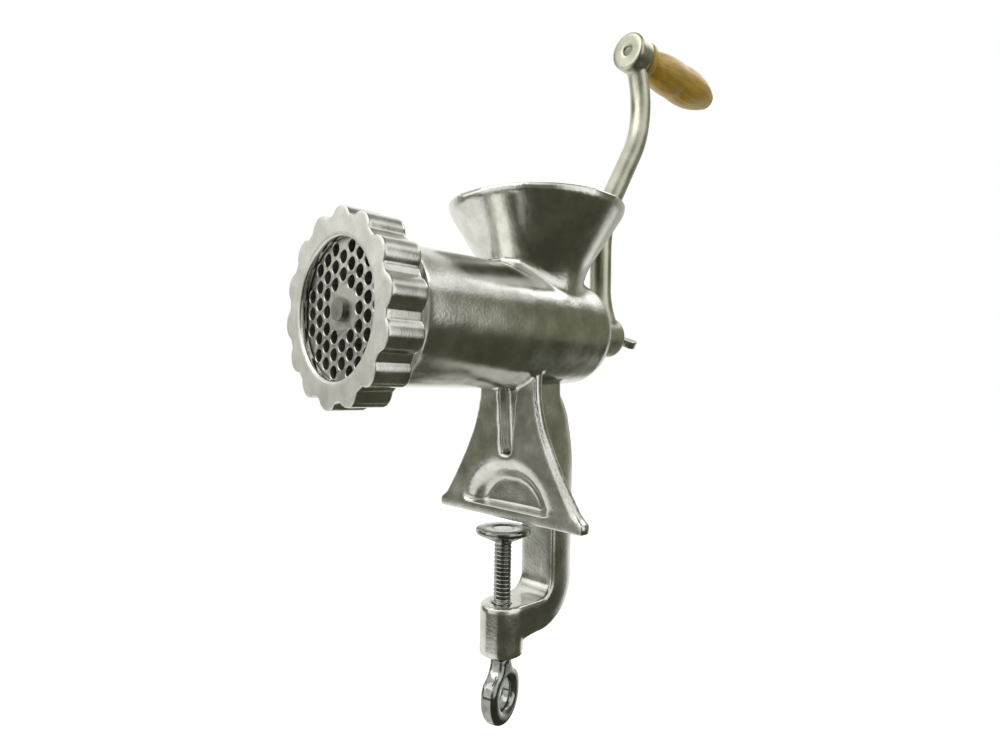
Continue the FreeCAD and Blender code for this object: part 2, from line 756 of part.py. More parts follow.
def make_ring_nut():
    body = new_body("ring_nut", y=LIP_FACE, z="axis_height")
    turn_body(body, Vector(0, 1, 0), "ring_rest_turn")
    front = new_sketch(body, "XZ_Plane", z="ring_lip")
    draw_circle(front, "0", "0", RING_WALL)
    extrude(body, front, "ring_depth", reverse=True)
    tip = new_sketch(body, "XZ_Plane", z="ring_lip")
    draw_circle(tip, "0", f"{RING_WALL} + lobe_height - lobe_radius", "lobe_radius")
    lobe = extrude(body, tip, "ring_depth", reverse=True)
    repeat_round(body, lobe, tip, "lobe_count")
    revolve(body, [
        ("-2 * ring_lip", "0"),
        ("ring_depth", "0"),
        ("ring_depth", RING_BORE),
        ("0", RING_BORE),
        ("0", "ring_opening_radius"),
        ("ring_opening_bevel - ring_lip", "ring_opening_radius"),
        ("-ring_lip", "ring_opening_radius + ring_opening_bevel"),
        ("-2 * ring_lip", "ring_opening_radius + ring_opening_bevel"),
    ], kind="Groove")
    return body


# Crank, grip and thumb screw


def rounded_disc(front, rear, radius, edge):
    return [
        (front, "0"),
        (rear, "0"),
        (rear, f"{radius} - {edge}"),
        (f"{rear} - {edge}", radius, "90"),
        (f"{front} + {edge}", radius),
        (front, f"{radius} - {edge}", "90"),
    ]


def make_crank_arm():
    body = new_body("crank_arm", z="axis_height")
    revolve(body, rounded_disc(HUB_FRONT, HUB_REAR, "hub_radius", "hub_round"))
    bends = f"{ARM_STRAIGHT} + {LOWER_BEND_RISE}"
    slanted = f"{bends} + arm_slant * cos(lower_bend)"
    sway = f"{LOWER_BEND_SWAY} + arm_slant * sin(lower_bend)"
    revolve(body, [
        ("0", "0"),
        ("arm_root_radius", "0"),
        ("arm_root_radius", "arm_root_height"),
        ("arm_radius", "arm_root_height + arm_flare", "-arm_flare_turn"),
        ("arm_radius", ARM_STRAIGHT),
        ("0", ARM_STRAIGHT),
    ], "V_Axis", x=HUB_MIDDLE)
    section = new_sketch(body, "XY_Plane", y=HUB_MIDDLE, z=ARM_STRAIGHT)
    draw_circle(section, "0", "0", "arm_radius")
    route = new_sketch(body, "YZ_Plane", x=HUB_MIDDLE)
    draw(route, [
        ("0", ARM_STRAIGHT),
        (LOWER_BEND_SWAY, bends, "-lower_bend"),
        (sway, slanted),
        (ARM_SWAY, "crank_radius", "lower_bend + upper_bend"),
    ], closed=False)
    arm = body.newObject("PartDesign::AdditivePipe", "crank_arm_rod")
    arm.Profile = section
    arm.Spine = (route, ["Edge1", "Edge2", "Edge3"])
    revolve(body, rounded_disc(KNOB_FRONT, KNOB_REAR, "knob_radius", "hub_round"), y="crank_radius")
    half = "(seat_square / 2 + fit_gap)"
    seat = new_sketch(body, "XZ_Plane", z=f"-({HUB_FRONT})")
    draw(seat, box_points(f"-{half}", half, f"-{half}", half))
    extrude(body, seat, "hub_length", "Pocket")
    revolve(body, [
        (f"{KNOB_FRONT} - knob_length", "0"),
        (f"{KNOB_REAR} + knob_length", "0"),
        (f"{KNOB_REAR} + knob_length", "grip_flange_radius + recess_gap"),
        (KNOB_REAR, "grip_flange_radius + recess_gap"),
        (KNOB_REAR, "rivet_radius + fit_gap"),
        (f"{KNOB_FRONT} + rivet_recess", "rivet_radius + fit_gap"),
        (f"{KNOB_FRONT} + rivet_recess", "rivet_recess_radius"),
        (f"{KNOB_FRONT} - knob_length", "rivet_recess_radius"),
    ], kind="Groove", y="crank_radius")
    return body


def make_grip_spindle():
    seat = f"{GRIP_FRONT} + {RECESS_FLOOR} + face_gap + grip_washer_thickness"
    return turned_body("grip_spindle", [
        (f"{KNOB_FRONT} + rivet_recess", "0"),
        (f"{seat} + spindle_head", "0"),
        (f"{seat} + spindle_head", "spindle_head_radius"),
        (seat, "spindle_head_radius"),
        (seat, "spindle_radius"),
        (KNOB_REAR, "spindle_radius"),
        (KNOB_REAR, "rivet_radius"),
        (f"{KNOB_FRONT} + rivet_recess", "rivet_radius"),
    ], z=GRIP_HEIGHT)


def make_wooden_grip():
    bore = "spindle_radius + running_gap"
    recess = "spindle_head_radius + recess_gap"
    return turned_body("wooden_grip", [
        ("0", bore),
        (RECESS_FLOOR, bore),
        (RECESS_FLOOR, recess),
        ("grip_length", recess),
        ("grip_length", "grip_end_radius"),
        ("grip_swell", "grip_radius", "grip_end_turn"),
        ("grip_flange + grip_neck", "grip_neck_radius", "grip_swell_turn"),
        ("grip_flange", "grip_flange_radius", "-grip_swell_turn"),
        ("0", "grip_flange_radius", "grip_swell_turn"),
    ], y=GRIP_FRONT, z=GRIP_HEIGHT)


def make_inner_grip_washer():
    return turned_body("inner_grip_washer", box_points(
        "0", "grip_washer_thickness", "spindle_radius + fit_gap", "grip_washer_radius"),
        y=KNOB_REAR, z=GRIP_HEIGHT)


def make_outer_grip_washer():
    return turned_body("outer_grip_washer", box_points(
        "0", "grip_washer_thickness", "spindle_radius + fit_gap", "spindle_head_radius"),
        y=f"{GRIP_FRONT} + {RECESS_FLOOR} + face_gap", z=GRIP_HEIGHT)


def make_thumb_washer():
    return turned_body("thumb_washer", box_points(
        "0", "thumb_washer_thickness", "thumb_stem_radius + running_gap", "thumb_washer_radius"),
        y=f"{HUB_REAR} + face_gap")


def make_thumb_screw():
    body = new_body("thumb_screw", y=THUMB_SEAT, z="axis_height")
    turn_body(body, Vector(0, 1, 0), "wing_lean")
    revolve(body, [
        ("-thumb_stem", "0"),
        ("thumb_collar", "0"),
        ("thumb_collar", "thumb_collar_radius"),
        ("0", "thumb_collar_radius"),
        ("0", "thumb_stem_radius"),
        ("-thumb_stem", "thumb_stem_radius"),
    ])
    wing = new_sketch(body, "XY_Plane", z="-wing_thickness / 2")
    draw(wing, mirrored([
        ("0", "thumb_collar / 2"),
        ("thumb_stem_radius", "thumb_collar / 2"),
        ("wing_half_width - wing_radius / 2", "wing_reach - wing_radius"),
        ("wing_half_width - wing_radius", "wing_reach + wing_radius / 2", "wing_turn"),
        ("0", "wing_reach - wing_radius / 2", "-wing_dip_turn"),
    ]))
    extrude(body, wing, "wing_thickness")
    return body


# Clamp screw and pad


def eye_outline(inset, straight):
    # Lower right half of the eye's outline, drawn in from its edge by the inset.
    return [
        ("0", f"{EYE_FOOT} + {inset}"),
        (f"eye_half_width - {inset}", f"{EYE_FOOT} + eye_half_width", "90"),
        (f"eye_half_width - {inset}", f"{EYE_FOOT} + eye_half_width + {straight}"),
    ]


def make_clamp_screw():
    body = new_body("clamp_screw")
    turn_body(body, Vector(0, 0, 1), "eye_turn")
    eye = new_sketch(body, "YZ_Plane", z="-eye_thickness / 2")
    shoulder = "2 * atan((eye_half_width - eye_neck_half) / eye_neck)"
    draw(eye, mirrored(eye_outline("0", "eye_straight") + [
        ("(eye_half_width + eye_neck_half) / 2", f"{EYE_TOP} - eye_neck / 2", shoulder),
        ("eye_neck_half", EYE_TOP, f"-{shoulder}"),
        ("0", EYE_TOP),
    ]))
    hole_top = f"{EYE_FOOT} + 2 * eye_half_width + eye_hole_straight - eye_band"
    draw(eye, mirrored(eye_outline("eye_band", "eye_hole_straight") + [("0", hole_top, "90")]))
    pad = extrude(body, eye, "eye_thickness")
    under_top = number(EYE_TOP) - number("eye_round") / 10
    round_edges(body, pad, "eye_round", lambda edge: edge.BoundBox.XLength < NEAR and middle(edge).z < under_top)
    revolve(body, [
        ("0", f"{EYE_TOP} - eye_neck / 2"),
        ("screw_root_radius", f"{EYE_TOP} - eye_neck / 2"),
        ("screw_radius", EYE_TOP),
        ("screw_radius", f"{PAD_FOOT} - face_gap"),
        ("screw_spigot", f"{PAD_FOOT} - face_gap"),
        ("screw_spigot", f"{PAD_FLOOR} + face_gap"),
        ("rivet_shank + fit_gap", f"{PAD_FLOOR} + face_gap"),
        ("rivet_shank + fit_gap", f"{PAD_FLOOR} + face_gap - rivet_depth"),
        ("0", f"{PAD_FLOOR} + face_gap - rivet_depth"),
    ], "V_Axis")
    return body


def make_clamp_pad():
    hole = "screw_spigot + running_gap"
    recess = "rivet_head_radius + recess_gap"
    return turned_body("clamp_pad", [
        (hole, PAD_FOOT),
        ("pad_hub_radius", PAD_FOOT),
        ("pad_radius", "-pad_drop - pad_rim"),
        ("pad_radius", "-pad_drop"),
        (recess, "-pad_drop"),
        (recess, PAD_FLOOR),
        (hole, PAD_FLOOR),
    ], "V_Axis", z="0")


def make_pad_rivet():
    seat = f"{PAD_FLOOR} + face_gap"
    return turned_body("pad_rivet", [
        ("0", f"{seat} - rivet_depth"),
        ("rivet_shank", f"{seat} - rivet_depth"),
        ("rivet_shank", seat),
        ("rivet_head_radius", seat),
        ("rivet_head_radius", f"{seat} + rivet_head"),
        ("0", f"{seat} + rivet_head"),
    ], "V_Axis", z="0")


pieces = [
    make_casting(),
    make_rear_bush(),
    make_thrust_washer(),
    make_plate_key_pin(),
    make_feed_screw(),
    make_worm_stud(),
    make_cross_knife(),
    make_grinding_plate(),
    make_ring_nut(),
    make_crank_arm(),
    make_grip_spindle(),
    make_wooden_grip(),
    make_inner_grip_washer(),
    make_outer_grip_washer(),
    make_thumb_washer(),
    make_thumb_screw(),
    make_clamp_screw(),
    make_clamp_pad(),
    make_pad_rivet(),
]
doc.recompute()

failed = [item.Name for item in doc.Objects if "Invalid" in item.State or "Error" in item.State]
for piece in pieces:
    if piece.Shape.isNull() or not piece.Shape.isValid() or len(piece.Shape.Solids) != 1:
        failed.append(piece.Label)
if failed:
    raise RuntimeError("these could not be made: " + ", ".join(failed))

os.makedirs("parts", exist_ok=True)
for piece in pieces:
    piece.Shape.exportStep(f"parts/{piece.Label}.step")
    box = piece.Shape.BoundBox
    size = f"{box.XLength:.1f} x {box.YLength:.1f} x {box.ZLength:.1f} mm"
    print(f"{piece.Label}: {piece.Shape.Volume:.0f} mm3, {size}")
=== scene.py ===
import bmesh
import bpy
import math
from mathutils import Matrix, Vector, noise


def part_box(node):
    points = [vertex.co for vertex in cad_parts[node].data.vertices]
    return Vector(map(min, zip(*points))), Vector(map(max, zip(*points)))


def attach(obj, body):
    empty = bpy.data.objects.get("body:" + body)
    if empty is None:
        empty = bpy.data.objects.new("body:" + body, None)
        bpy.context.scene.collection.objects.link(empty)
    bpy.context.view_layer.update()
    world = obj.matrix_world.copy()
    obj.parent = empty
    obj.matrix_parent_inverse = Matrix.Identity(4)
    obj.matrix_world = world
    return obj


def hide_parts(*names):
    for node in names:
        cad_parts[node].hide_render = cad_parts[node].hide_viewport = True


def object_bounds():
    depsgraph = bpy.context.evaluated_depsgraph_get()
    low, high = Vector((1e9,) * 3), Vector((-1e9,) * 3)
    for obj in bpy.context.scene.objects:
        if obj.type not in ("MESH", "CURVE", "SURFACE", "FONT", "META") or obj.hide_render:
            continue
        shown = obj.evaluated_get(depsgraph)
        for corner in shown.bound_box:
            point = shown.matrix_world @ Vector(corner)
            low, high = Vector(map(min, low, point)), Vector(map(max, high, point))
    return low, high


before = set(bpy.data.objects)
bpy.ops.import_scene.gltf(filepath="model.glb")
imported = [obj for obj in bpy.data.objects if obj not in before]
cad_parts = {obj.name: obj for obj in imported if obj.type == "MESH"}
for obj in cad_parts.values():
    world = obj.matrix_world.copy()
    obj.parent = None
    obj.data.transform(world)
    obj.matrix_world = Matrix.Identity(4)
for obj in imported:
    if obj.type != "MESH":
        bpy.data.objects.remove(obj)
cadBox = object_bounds()
mm = 0.001
barrelHeight = 96  # the barrel's axis above the table, in millimetres
weld = 1e-6  # corners this near to each other, in metres, become one
scene = bpy.context.scene
print("frame: loaded", len(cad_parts), "nodes")


def linear(code):
    # an sRGB hex colour as linear red, green, blue and alpha
    parts = [int(code[place:place + 2], 16) / 255 for place in (1, 3, 5)]
    return [p / 12.92 if p <= 0.04045 else ((p + 0.055) / 1.055) ** 2.4 for p in parts] + [1.0]


def addNode(tree, kind, inputs=None, **settings):
    # inputs gives a value or another node's socket for each input, by name or place
    node = tree.nodes.new(kind)
    for name, value in settings.items():
        setattr(node, name, value)
    for name, value in (inputs or {}).items():
        if isinstance(value, bpy.types.NodeSocket):
            tree.links.new(value, node.inputs[name])
        else:
            node.inputs[name].default_value = value
    return node


def newMaterial(name):
    material = bpy.data.materials.new(name)
    material.use_nodes = True
    material.node_tree.nodes.clear()
    return material, material.node_tree


# metals

# where a tone starts and where it is full, on the patches' noise or on the sharpness of an edge
# the rubbed tone lightens sharp edges with wear and a painted highlight, and the sunk tone darkens hollows
# and creases with painted shade
metalTones = {"patch": (0.34, 0.66), "gloss": (0.3, 0.7), "rubbedHighlight": (0.54, 0.66), "sunk": (0.48, 0.40)}
waveLength = math.pi / 10  # the distance between two waves of a wave texture at scale 1


def metalSurface(name, look):
    # patches vary colour and gloss, pebbles and grain make the bump, sharp edges are lightened with rubbed
    # wear and a painted highlight, and hollows are darkened with painted shade
    # the grain is drawn coarser than a real tool mark or grit, so that it shows
    material, tree = newMaterial(name)
    coords = addNode(tree, "ShaderNodeTexCoord").outputs["Object"]
    patch = addNode(tree, "ShaderNodeTexNoise", {
        "Vector": coords, "Scale": 1 / (look["patch"] * mm), "Detail": 4.0, "Roughness": 0.6})
    pebble = addNode(tree, "ShaderNodeTexNoise", {
        "Vector": coords, "Scale": 1 / (look["pebble"] * mm), "Detail": 2.0, "Roughness": 0.5})
    grain = addNode(tree, "ShaderNodeTexNoise", {
        "Vector": coords, "Scale": 1 / (look["grain"] * mm), "Detail": 1.0})
    spread = addNode(tree, "ShaderNodeMapRange", {
        "Value": patch.outputs["Fac"],
        "From Min": metalTones["patch"][0], "From Max": metalTones["patch"][1]})
    colour = addNode(tree, "ShaderNodeMix", {
        "Factor": spread.outputs["Result"], "A": linear(look["dark"]), "B": linear(look["pale"])},
        data_type="RGBA")
    edge = addNode(tree, "ShaderNodeNewGeometry").outputs["Pointiness"]
    # sharp outer edges are lightened: rubbed wear and a painted highlight
    rubbedHighlight = addNode(tree, "ShaderNodeMapRange", {
        "Value": edge, "From Min": metalTones["rubbedHighlight"][0], "From Max": metalTones["rubbedHighlight"][1]})
    # hollows and creases are darkened: painted shade
    sunk = addNode(tree, "ShaderNodeMapRange", {
        "Value": edge, "From Min": metalTones["sunk"][0], "From Max": metalTones["sunk"][1]})
    colour = addNode(tree, "ShaderNodeMix", {
        "Factor": rubbedHighlight.outputs["Result"], "A": colour.outputs["Result"], "B": linear(look["rubbedHighlight"])},
        data_type="RGBA")
    colour = addNode(tree, "ShaderNodeMix", {
        "Factor": sunk.outputs["Result"], "A": colour.outputs["Result"], "B": linear(look["sunk"])},
        data_type="RGBA")
    gloss = addNode(tree, "ShaderNodeMapRange", {
        "Value": patch.outputs["Fac"],
        "From Min": metalTones["gloss"][0], "From Max": metalTones["gloss"][1],
        "To Min": look["rough"][0], "To Max": look["rough"][1]})
    fine = addNode(tree, "ShaderNodeBump", {
        "Height": grain.outputs["Fac"], "Distance": look["grainDepth"] * mm, "Strength": 1.0})
    bump = addNode(tree, "ShaderNodeBump", {
        "Height": pebble.outputs["Fac"], "Distance": look["pebbleDepth"] * mm, "Strength": 1.0,
        "Normal": fine.outputs["Normal"]})
    colourOut, roughOut = colour.outputs["Result"], gloss.outputs["Result"]
    normalOut = bump.outputs["Normal"]
    if "turned" in look:
        # a flat face at the barrel's mouth that was turned on a lathe
        turned = look["turned"]
        axis = addNode(tree, "ShaderNodeMapping", {"Vector": coords, "Location": (0, 0, -barrelHeight * mm)})
        depth = addNode(tree, "ShaderNodeSeparateXYZ", {"Vector": coords}).outputs["Y"]
        mask = addNode(tree, "ShaderNodeMapRange", {
            "Value": depth, "From Min": (turned["face"] + turned["fadeStart"]) * mm,
            "From Max": (turned["face"] + turned["fadeEnd"]) * mm})
        rings = addNode(tree, "ShaderNodeTexWave", {
            "Vector": axis.outputs["Vector"], "Scale": waveLength / (turned["pitch"] * mm),
            "Distortion": turned["waver"], "Detail": 2.0}, wave_type="RINGS", rings_direction="Y")
        ringBump = addNode(tree, "ShaderNodeBump", {
            "Height": rings.outputs["Fac"], "Distance": turned["depth"] * mm, "Strength": 1.0,
            "Normal": fine.outputs["Normal"]})
        shade = addNode(tree, "ShaderNodeMix", {
            "Factor": spread.outputs["Result"], "A": linear(turned["dark"]), "B": linear(turned["pale"])},
            data_type="RGBA")
        colourOut = addNode(tree, "ShaderNodeMix", {
            "Factor": mask.outputs["Result"], "A": colourOut, "B": shade.outputs["Result"]},
            data_type="RGBA").outputs["Result"]
        roughOut = addNode(tree, "ShaderNodeMix", {
            "Factor": mask.outputs["Result"], "A": roughOut, "B": turned["rough"]}).outputs["Result"]
        normalOut = addNode(tree, "ShaderNodeMix", {
            "Factor": mask.outputs["Result"], "A": normalOut, "B": ringBump.outputs["Normal"]},
            data_type="VECTOR").outputs["Result"]
    surface = addNode(tree, "ShaderNodeBsdfPrincipled", {
        "Base Color": colourOut, "Metallic": 1.0, "Roughness": roughOut, "Normal": normalOut})
    addNode(tree, "ShaderNodeOutputMaterial", {"Surface": surface.outputs["BSDF"]})
    return material


# in each metal below, the rubbed colour is wear and a painted highlight on sharp edges, and the sunk colour
# is painted shade in hollows and creases
# hot tinned cast iron: a bright, slightly warm grey skin that follows the sand's pebbles
tinnedIron = metalSurface("tinned_cast_iron", {
    "pale": "#d3d2cd", "dark": "#b5b5ae", "rubbedHighlight": "#e4e4e0", "sunk": "#66665d", "rough": (0.16, 0.24),
    "patch": 14, "pebble": 1.4, "pebbleDepth": 0.05, "grain": 0.8, "grainDepth": 0.02})
# the ring has the same skin, smoother, and its front face was turned flat and went dull
ringMetal = metalSurface("tinned_cast_iron_turned_face", {
    "pale": "#d3d2cd", "dark": "#b4b4ad", "rubbedHighlight": "#eeeeea", "sunk": "#6c6c63", "rough": (0.12, 0.25),
    "patch": 9, "pebble": 2.6, "pebbleDepth": 0.02, "grain": 0.8, "grainDepth": 0.02,
    "turned": {"face": -97.1, "fadeStart": 0.7, "fadeEnd": 0.2, "pitch": 0.8, "depth": 0.02, "waver": 1.5,
               "rough": 0.5, "pale": "#d4d3ce", "dark": "#bcbcb5"}})
# the crank was rumbled before tinning, so its skin is even, warm and satin
crankMetal = metalSurface("tinned_cast_iron_smooth", {
    "pale": "#bdbcac", "dark": "#a3a392", "rubbedHighlight": "#d8d7cc", "sunk": "#6c6b5a", "rough": (0.28, 0.42),
    "patch": 18, "pebble": 2.6, "pebbleDepth": 0.06, "grain": 0.8, "grainDepth": 0.012})
# ground tool steel: neutral grey, finely scratched
groundSteel = metalSurface("ground_carbon_steel", {
    "pale": "#8a8882", "dark": "#6b6963", "rubbedHighlight": "#b4b2ac", "sunk": "#3e3c37", "rough": (0.3, 0.46),
    "patch": 6, "pebble": 0.9, "pebbleDepth": 0.02, "grain": 0.5, "grainDepth": 0.012})
# turned steel of the small screws, pins and washers: bright and clean
brightSteel = metalSurface("turned_bright_steel", {
    "pale": "#d2d2cd", "dark": "#b5b4ae", "rubbedHighlight": "#ececea", "sunk": "#6f6d66", "rough": (0.18, 0.3),
    "patch": 5, "pebble": 1.2, "pebbleDepth": 0.015, "grain": 0.5, "grainDepth": 0.006})
# the clamp's steel has darkened with oil and is polished where hands turn it, with a painted highlight on its
# sharp edges
darkSteel = metalSurface("oiled_dark_steel", {
    "pale": "#a6a8a4", "dark": "#7a7d79", "rubbedHighlight": "#cfd1cd", "sunk": "#262825", "rough": (0.06, 0.15),
    "patch": 7, "pebble": 1.6, "pebbleDepth": 0.03, "grain": 0.6, "grainDepth": 0.01})
# the worm and the knife are iron painted dark with the shade inside the barrel, seen through the plate's
# holes, and dull
barrelShadeIron = metalSurface("iron_painted_barrel_shade", {
    "pale": "#4c4c47", "dark": "#33332f", "rubbedHighlight": "#6c6c66", "sunk": "#1d1d1a", "rough": (0.3, 0.46),
    "patch": 10, "pebble": 1.5, "pebbleDepth": 0.05, "grain": 0.8, "grainDepth": 0.02})
# turned brass of the bush and the washer inside the barrel: a warm, even yellow
turnedBrass = metalSurface("turned_brass", {
    "pale": "#d9b765", "dark": "#b08e42", "rubbedHighlight": "#ecd08a", "sunk": "#5f4a20", "rough": (0.2, 0.34),
    "patch": 5, "pebble": 1.2, "pebbleDepth": 0.012, "grain": 0.5, "grainDepth": 0.006})
print("materials: metals made")


# shared shape work

def link(name, mesh):
    piece = bpy.data.objects.new(name, mesh)
    scene.collection.objects.link(piece)
    return piece


def settled(piece):
    # what the modifiers give becomes the mesh, and they go
    bpy.context.view_layer.update()
    mesh = bpy.data.meshes.new_from_object(piece.evaluated_get(bpy.context.evaluated_depsgraph_get()))
    piece.modifiers.clear()
    piece.data = mesh
    return piece


def finishPiece(piece, material, body, slot, *nodes):
    piece.data.materials.clear()
    piece.data.materials.append(material)
    for face in piece.data.polygons:
        face.material_index = 0
    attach(piece, body)
    if nodes:
        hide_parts(*nodes)
    return piece


def softCopy(node, name, voxel, passes):
    # a copy of a solid with the soft edges that casting, forging or rumbling leaves
    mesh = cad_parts[node].data.copy()
    work = bmesh.new()
    work.from_mesh(mesh)
    bmesh.ops.remove_doubles(work, verts=work.verts, dist=weld)
    work.to_mesh(mesh)
    work.free()
    piece = link(name, mesh)
    remesh = piece.modifiers.new("remesh", "REMESH")
    remesh.mode = "VOXEL"
    remesh.voxel_size = voxel * mm
    remesh.use_smooth_shade = True
    smooth = piece.modifiers.new("smooth", "SMOOTH")
    smooth.factor = 0.5
    smooth.iterations = passes
    return settled(piece)


def unevenness(piece, waves):
    # the gentle waves of a cast surface, moved along the normals
    moved = []
    for vertex in piece.data.vertices:
        lift = sum(depth * mm * noise.noise(vertex.co / (size * mm)) for size, depth in waves)
        moved.append(vertex.co + vertex.normal * lift)
    for vertex, place in zip(piece.data.vertices, moved):
        vertex.co = place


def lathe(name, profile, segments, place, axis):
    # a closed outline of (along, radius) pairs in millimetres, turned round the axis through place
    work = bmesh.new()
    along = Vector(axis)
    side = along.orthogonal().normalized()
    corners = [work.verts.new(Vector(place) + along * a * mm + side * r * mm) for a, r in profile]
    for start, end in zip(corners, corners[1:] + corners[:1]):
        work.edges.new((start, end))
    bmesh.ops.spin(work, geom=work.verts[:] + work.edges[:], cent=place, axis=along, angle=math.tau,
                   steps=segments, use_merge=True)
    bmesh.ops.remove_doubles(work, verts=work.verts, dist=weld)
    bmesh.ops.recalc_face_normals(work, faces=work.faces)
    mesh = bpy.data.meshes.new(name)
    work.to_mesh(mesh)
    work.free()
    mesh.shade_smooth()
    return link(name, mesh)


def nodeTree(name, inputs):
    # a geometry tree with its named inputs, and what its own input node gives
    tree = bpy.data.node_groups.new(name, "GeometryNodeTree")
    for label, kind in inputs:
        tree.interface.new_socket(label, in_out="INPUT", socket_type=kind)
    tree.interface.new_socket("Geometry", in_out="OUTPUT", socket_type="NodeSocketGeometry")
    return tree, addNode(tree, "NodeGroupInput").outputs


def grow(name, tree, values):
    # runs a geometry tree once and keeps the mesh
    piece = link(name, bpy.data.meshes.new(name))
    modifier = piece.modifiers.new("nodes", "NODES")
    modifier.node_group = tree
    sockets = {item.name: item.identifier for item in tree.interface.items_tree if item.in_out == "INPUT"}
    for label, value in values.items():
        modifier[sockets[label]] = value
    return settled(piece)


# casting

casting = {"voxel": 1.1, "passes": 7, "waves": [(22, 0.08), (7, 0.04)],
           "noseRear": -79.2, "threadRoot": 33.7, "noseSkin": 0.6, "footTop": 8, "footWear": 0.15}
arm = {"innerFace": 24.5, "bend": (16.5, -33.5), "bendRadius": 8.0, "depth": 24.0, "taper": 0.4,
       "top": 60, "topFade": 15, "bossEdge": 10, "bossFade": 10}
# edge and middle are shares of the arch's own half width and rise
arch = {"halfWidth": 27.5, "rise": 20.0, "foot": 5.0, "depth": 7.0, "reach": 8.0, "lean": 0.22,
        "edge": 1.3, "edgeFade": 0.1, "middle": 0.35, "middleFade": 0.5}


def armDepth(y, z):
    # how far a place lies behind the clamp arm's inner face, round its bend
    bendY, bendZ = arm["bend"]
    if z > bendZ:
        return y - arm["innerFace"]
    if y > bendY:
        return math.hypot(y - bendY, z - bendZ) - arm["bendRadius"]
    return bendZ - arm["bendRadius"] - z


def armShare(y, z):
    # the arm's section narrows towards its back, from the boss up to the barrel
    inside = min(max(armDepth(y, z) / arm["depth"], 0), 1)
    below = min(max((arm["top"] - z) / arm["topFade"], 0), 1)
    behind = min(max((y - arm["bossEdge"]) / arm["bossFade"], 0), 1)
    return 1 - arm["taper"] * inside ** 2 * below * behind


def archShare(x, y, z):
    # the wall of the stand's arch leans in towards its floor, so a deep place keeps less of its distance
    away = math.hypot(x / arch["halfWidth"], (z - arch["foot"]) / arch["rise"])
    if z < arch["foot"] or not 0 < y < arch["reach"] or away > arch["edge"]:
        return 1
    near = min((arch["edge"] - away) / arch["edgeFade"], 1)
    outer = min(max((away - arch["middle"]) / arch["middleFade"], 0), 1)
    return 1 - arch["lean"] * min(y / arch["depth"], 1) * near * outer


def makeCasting():
    piece = softCopy("body_casting", "grinder_casting", casting["voxel"], casting["passes"])
    unevenness(piece, casting["waves"])
    # the clamp arm narrows, the arch's wall leans and the foot's front rim is worn back
    # the nose is cut to the root of its thread
    middle = barrelHeight * mm
    archFoot = arch["foot"] * mm
    for vertex in piece.data.vertices:
        vertex.co.x *= armShare(vertex.co.y / mm, vertex.co.z / mm)
        lean = archShare(vertex.co.x / mm, vertex.co.y / mm, vertex.co.z / mm)
        vertex.co.x *= lean
        vertex.co.z = archFoot + (vertex.co.z - archFoot) * lean
        if 0 <= vertex.co.z < casting["footTop"] * mm and vertex.co.y < 0:
            vertex.co.y *= casting["footWear"]
        x, z = vertex.co.x, vertex.co.z - middle
        radius = math.hypot(x, z)
        skin = (casting["threadRoot"] - casting["noseSkin"]) * mm
        if vertex.co.y < casting["noseRear"] * mm and radius > skin:
            share = casting["threadRoot"] * mm / radius
            vertex.co.x, vertex.co.z = x * share, middle + z * share
    return finishPiece(piece, tinnedIron, "frame", "tinned_casting", "body_casting")


grinderCasting = makeCasting()
print("casting:", len(grinderCasting.data.polygons), "faces")


# threads

noseThread = {"radius": 33.9, "pitch": 3.0, "turns": 3.8, "ridge": 0.55, "rear": -79.8}
clampThread = {"radius": 4.2, "pitch": 2.0, "turns": 28.0, "ridge": 0.3, "foot": -68.0}
threadSteps = {"turn": 64, "section": 6}


def makeThreadTree():
    tree, given = nodeTree("screw_thread", [
        ("Radius", "NodeSocketFloat"), ("Pitch", "NodeSocketFloat"), ("Turns", "NodeSocketFloat"),
        ("Ridge", "NodeSocketFloat"), ("Turn", "NodeSocketVector"), ("Place", "NodeSocketVector"),
        ("Material", "NodeSocketMaterial")])
    length = addNode(tree, "ShaderNodeMath", {0: given["Pitch"], 1: given["Turns"]}, operation="MULTIPLY")
    line = addNode(tree, "GeometryNodeCurveSpiral", {
        "Resolution": threadSteps["turn"], "Rotations": given["Turns"], "Start Radius": given["Radius"],
        "End Radius": given["Radius"], "Height": length.outputs[0], "Reverse": False})
    section = addNode(tree, "GeometryNodeCurvePrimitiveCircle", {
        "Resolution": threadSteps["section"], "Radius": given["Ridge"]})
    ridge = addNode(tree, "GeometryNodeCurveToMesh", {
        "Curve": line.outputs["Curve"], "Profile Curve": section.outputs["Curve"], "Fill Caps": True})
    moved = addNode(tree, "GeometryNodeTransform", {
        "Geometry": ridge.outputs["Mesh"], "Translation": given["Place"], "Rotation": given["Turn"]})
    real = addNode(tree, "GeometryNodeRealizeInstances", {"Geometry": moved.outputs["Geometry"]})
    coloured = addNode(tree, "GeometryNodeSetMaterial", {
        "Geometry": real.outputs["Geometry"], "Material": given["Material"]})
    addNode(tree, "NodeGroupOutput", {"Geometry": coloured.outputs["Geometry"]})
    return tree


def makeThread(name, thread, turn, place, material):
    return grow(name, threadTree, {
        "Radius": thread["radius"] * mm, "Pitch": thread["pitch"] * mm, "Turns": thread["turns"],
        "Ridge": thread["ridge"] * mm, "Turn": turn, "Place": place, "Material": material})


threadTree = makeThreadTree()
noseRidge = makeThread("nose_thread", noseThread, (math.pi / 2, 0, 0),
                       (0, noseThread["rear"] * mm, barrelHeight * mm), tinnedIron)
finishPiece(noseRidge, tinnedIron, "frame", "tinned_casting")
clampRidge = makeThread("clamp_thread", clampThread, (0, 0, 0), (0, 0, clampThread["foot"] * mm), darkSteel)
finishPiece(clampRidge, darkSteel, "screw", "clamp_steel")
print("threads: nose and clamp made")


# ring nut

